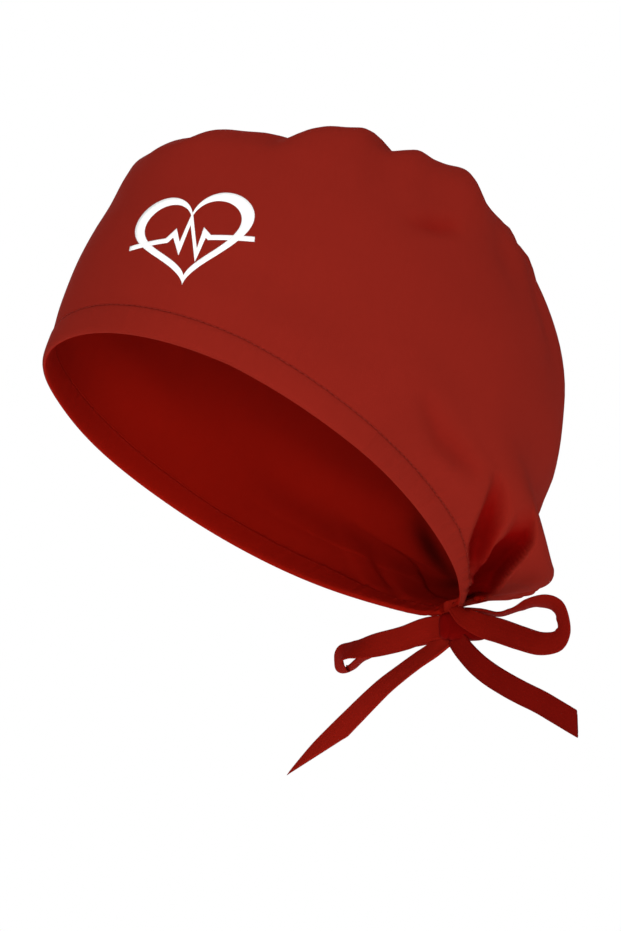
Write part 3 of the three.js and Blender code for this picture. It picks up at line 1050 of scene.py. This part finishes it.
class CAP_OT_knot(bpy.types.Operator):
    """Builds the knot as tape wrapped round the crossing of the loops"""

    bl_idname = "scrub_cap.knot"
    bl_label = "Knot"

    def execute(self, context):
        bm = bmesh.new()
        bmesh.ops.create_uvsphere(bm, u_segments=96, v_segments=64, radius=1)
        along = np.cross((0, 0, 1), FACING)
        along /= np.linalg.norm(along)
        axes = np.stack([along, np.cross(along, (0, 0, 1)), (0, 0, 1)])
        for vert in bm.verts:
            a, b, c = (signed_power(value, KNOT_SQUARE) for value in vert.co)
            tail = max(0.0, float(a))
            lean = a - CREASE_LEAN * c
            crease = sum(math.exp(-(((lean - spot) / CREASE_WIDTH) ** 2)) for spot in KNOT_CREASES)
            narrow = (1 - KNOT_TAPER * tail**1.4) * (1 - CREASE_DEPTH * crease)
            local = np.array((a, b * narrow, c * narrow - KNOT_TILT * tail**1.6)) * KNOT_HALF
            vert.co = Vector(KNOT_CENTRE + local @ axes) * MM
        # The knot's colour is painted shade: a darker copy of the cloth's colour.
        piece = finish_mesh("tape_knot", bm, shared_material("knot_cotton"))
        carry(piece, "tie_tape", "tie_knot")
        return {"FINISHED"}


# Printed emblem: a heart with a pulse line, in millimetres about its middle

EMBLEM_AROUND, EMBLEM_LEVEL = 34.5, 3.35
PULSE = ((-25, 0), (-9, 0), (-6, 3.2), (-3.4, -4.5), (0, 9.5), (3.6, -8), (6, 2.4), (8, 0), (25, 0))
PULSE_WIDTH = 2.2
HEART_SCALE, HEART_INNER = 1.5, 0.81
PRINT_LIFT, FILM = 0.16, 0.14


def on_crown(design, lift):
    """Points of the crown where a flat design lies, given in millimetres right and up."""
    middle = cloth(EMBLEM_AROUND, EMBLEM_LEVEL)
    normal = outward(EMBLEM_AROUND, EMBLEM_LEVEL)
    right = np.cross((0, 0, 1), normal)
    right /= np.linalg.norm(right)
    above = np.cross(normal, right)
    shape = design.shape[:-1]
    want = design.reshape(-1, 2)
    spot = np.tile((EMBLEM_AROUND, EMBLEM_LEVEL), (len(want), 1)).astype(float)

    def seen(spots):
        gap = cloth(spots[:, 0], spots[:, 1]) - middle
        return np.stack([gap @ right, gap @ above], -1)

    steps = np.array((0.2, 0.02))
    for _ in range(7):
        error = seen(spot) - want
        slope = np.stack([seen(spot + step) - seen(spot - step) for step in np.diag(steps)], -1)
        slope = slope / (2 * steps)
        spot = spot - np.linalg.solve(slope, error[..., None])[..., 0]
    return cloth(spot[:, 0], spot[:, 1], lift).reshape(*shape, 3)


def heart_band():
    """The heart's outline as inner and outer points."""
    t = np.linspace(0, 2 * math.pi, 181)
    x = 16 * np.sin(t) ** 3
    y = 13 * np.cos(t) - 5 * np.cos(2 * t) - 2 * np.cos(3 * t) - np.cos(4 * t)
    outer = np.stack([x, y + 2.5], -1) * HEART_SCALE
    return outer[:, None] * np.linspace(HEART_INNER, 1, 4)[None, :, None]


def pulse_band():
    """The pulse line as a mitred strip."""
    line = np.array(PULSE, float)
    leg = np.diff(line, axis=0)
    normals = np.stack([-leg[:, 1], leg[:, 0]], -1) / np.linalg.norm(leg, axis=1, keepdims=True)
    corner = np.concatenate([[normals[0]], normals[:-1] + normals[1:], [normals[-1]]])
    corner /= np.linalg.norm(corner, axis=1, keepdims=True)
    beside = np.concatenate([[normals[0]], normals])
    reach = 1 / np.maximum(0.35, (corner * beside).sum(1))
    offset = corner * reach[:, None] * PULSE_WIDTH / 2
    rows = []
    for a, b, c, d in zip(line[:-1], line[1:], offset[:-1], offset[1:]):
        for share in np.linspace(0, 1, max(3, int(np.linalg.norm(b - a) / 1.5)), endpoint=False):
            rows.append((a + (b - a) * share, c + (d - c) * share))
    rows.append((line[-1], offset[-1]))
    middle, side = (np.array([row[k] for row in rows]) for k in (0, 1))
    return middle[:, None] + side[:, None] * np.linspace(-1, 1, 4)[None, :, None]


class CAP_OT_emblem(bpy.types.Operator):
    """Prints a heart with a pulse line on the left of the forehead"""

    bl_idname = "scrub_cap.emblem"
    bl_label = "Printed emblem"

    def execute(self, context):
        size = settings().print_width / MM / PRINT_DRAWN
        whole = bmesh.new()
        for band in (heart_band(), pulse_band()):
            bm = shaped_grid(on_crown(band * size, PRINT_LIFT), band * MM)
            part = bpy.data.meshes.new("band")
            bm.to_mesh(part)
            bm.free()
            whole.from_mesh(part)
            bpy.data.meshes.remove(part)
        piece = finish_mesh("emblem_print", whole, shared_material("print_film"))
        film = piece.modifiers.new("film", "SOLIDIFY")
        film.thickness, film.offset = FILM * MM, -1
        carry(piece, "cap_cloth")
        return {"FINISHED"}


# Stage

CAMERA_AZIMUTH, CAMERA_ELEVATION = 62, -9.8
CAMERA_DISTANCE = 1.0
CAMERA_ASIDE, CAMERA_ABOVE = 0.02229, 0.00542
FOCAL_PIXELS, FRAME_PIXELS = 2490, 621
FLOOR_HEIGHT, FLOOR_RADIUS = -0.36, 8

LIGHTS = {
    # azimuth and elevation in degrees, distance and size in metres, watts
    "key": (112, 14, 2.2, 1.2, 6.6),
    "low_fill": (52, -2, 1.25, 0.4, 5),
    "top_fill": (50, 60, 2.1, 1.4, 13),
    "back_fill": (250, 25, 2.2, 1.2, 16),
}
ROOM_LIGHT, FLOOR_GLOW = 0.42, 0.4


def direction(azimuth, elevation):
    """The way to a place that is so many degrees round from the forehead to the left, and up."""
    az, el = math.radians(azimuth), math.radians(elevation)
    return Vector((math.sin(az) * math.cos(el), -math.cos(az) * math.cos(el), math.sin(el)))


class CAP_OT_stage(bpy.types.Operator):
    """Sets the floor, the lights, the background and the camera"""

    bl_idname = "scrub_cap.stage"
    bl_label = "Stage"

    def execute(self, context):
        scene = context.scene
        scene.view_settings.view_transform = "Standard"
        bm = bmesh.new()
        ground = Matrix.Translation((0, 0, FLOOR_HEIGHT))
        bmesh.ops.create_circle(bm, cap_ends=True, segments=96, radius=FLOOR_RADIUS, matrix=ground)
        floor = finish_mesh("floor", bm, shared_material("floor_paint"), smooth=False)
        world = bpy.data.worlds.new("white_room")
        world.use_nodes = True
        tree = world.node_tree
        light = tree.nodes["Background"]
        light.inputs["Color"].default_value = (1, 1, 1, 1)
        seen = tree.nodes.new("ShaderNodeLightPath").outputs["Is Camera Ray"]
        tree.links.new(scaled(tree, seen, 1 - ROOM_LIGHT, ROOM_LIGHT), light.inputs["Strength"])
        scene.world = world
        for name, (azimuth, elevation, distance, size, watts) in LIGHTS.items():
            place = direction(azimuth, elevation) * distance
            lamp = bpy.data.lights.new(name, "AREA")
            lamp.shape, lamp.size, lamp.energy = "DISK", size, watts
            holder = bpy.data.objects.new(name, lamp)
            holder.location = place
            holder.rotation_euler = place.to_track_quat("Z", "Y").to_euler()
            context.collection.objects.link(holder)
        back, right = direction(CAMERA_AZIMUTH, CAMERA_ELEVATION), direction(CAMERA_AZIMUTH + 90, 0)
        up = back.cross(right)
        lens = bpy.data.cameras.new("camera")
        lens.sensor_fit = "HORIZONTAL"
        lens.sensor_width = 36
        lens.lens = FOCAL_PIXELS / FRAME_PIXELS * lens.sensor_width
        eye = bpy.data.objects.new("camera", lens)
        turn = Matrix((right, up, back)).transposed().to_4x4()
        place = back * CAMERA_DISTANCE + right * CAMERA_ASIDE + up * CAMERA_ABOVE
        eye.matrix_world = Matrix.Translation(place) @ turn
        context.collection.objects.link(eye)
        scene.camera = eye
        return {"FINISHED"}


class CAP_PT_panel(bpy.types.Panel):
    """Lists the cap's pieces and sizes"""

    bl_label = "Scrub cap"
    bl_idname = "CAP_PT_panel"
    bl_space_type = "VIEW_3D"
    bl_region_type = "UI"
    bl_category = "Scrub cap"

    def draw(self, context):
        for name in CapSettings.__annotations__:
            self.layout.prop(context.scene.scrub_cap, name)
        for maker in OPERATORS:
            self.layout.operator(maker.bl_idname)


OPERATORS = (
    CAP_OT_stage,
    CAP_OT_emblem,
    CAP_OT_crown,
    CAP_OT_hem,
    CAP_OT_stitches,
    CAP_OT_knot,
    CAP_OT_tape,
)
CLASSES = (CapSettings, *OPERATORS, CAP_PT_panel)


def register():
    for part in CLASSES:
        bpy.utils.register_class(part)
    bpy.types.Scene.scrub_cap = bpy.props.PointerProperty(type=CapSettings)


def unregister():
    del bpy.types.Scene.scrub_cap
    for part in reversed(CLASSES):
        bpy.utils.unregister_class(part)


def main():
    register()
    bpy.ops.scrub_cap.stage()
    bpy.ops.scrub_cap.emblem()
    bpy.ops.scrub_cap.crown()
    bpy.ops.scrub_cap.hem()
    bpy.ops.scrub_cap.stitches()
    bpy.ops.scrub_cap.knot()
    bpy.ops.scrub_cap.tape()


if __name__ == "__main__":
    main()
